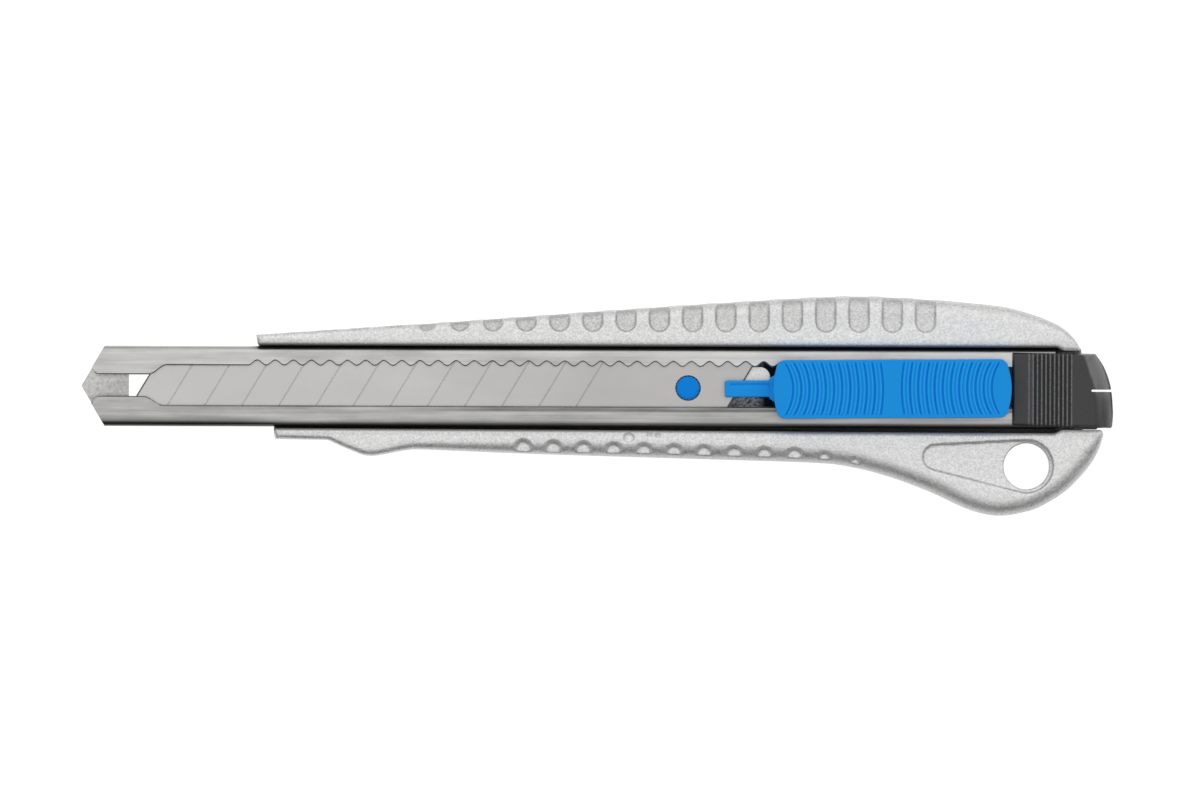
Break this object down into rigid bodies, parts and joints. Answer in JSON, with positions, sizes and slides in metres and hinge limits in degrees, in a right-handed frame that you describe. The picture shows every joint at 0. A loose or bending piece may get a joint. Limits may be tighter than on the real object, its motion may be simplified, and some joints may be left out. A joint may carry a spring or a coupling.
{
  "type": "utility knife",
  "caption": "Snap-off blade utility knife: cast metal handle with hanging loop, steel blade guide, sliding scored blade, self-locking thumb slider and snapper end cap.",
  "frame": {"origin": "centre of the overall box in plan, on the flat back face of the handle that the knife lies on", "axes": "+X from the cutting tip to the end cap, +Y from the finger side to the grip side, +Z out of the slider side"},
  "size_m": [0.139, 0.0295, 0.0118],
  "materials": {
    "cast_metal": "silver sparkle coat over a zinc die casting, fine orange peel, satin",
    "stainless_steel": "mill-finished strip with grain along its length",
    "blade_steel": "fine ground carbon steel, satin",
    "carrier_plastic": "moulded, light gloss",
    "spring_steel": "rolled strip",
    "blue_plastic": "moulded, satin with a light gloss",
    "black_plastic": "moulded, satin"
  },
  "bodies": {
    "body": {"handle": "cast_metal", "blade_guide": "stainless_steel"},
    "slider": {"thumb_slider": "blue_plastic", "blade_carrier": "carrier_plastic", "lock_spring": "spring_steel", "blade": "blade_steel"},
    "cap": {"end_cap": "black_plastic"}
  },
  "joints": [
    {"name": "blade_slide", "type": "slide", "parent": "body", "child": "slider", "axis": [-1, 0, 0], "range_m": [0, 0.0682], "deforming": ["lock_spring"]},
    {"name": "cap_pull", "type": "slide", "parent": "body", "child": "cap", "axis": [1, 0, 0], "range_m": [0, 0.018]}
  ]
}
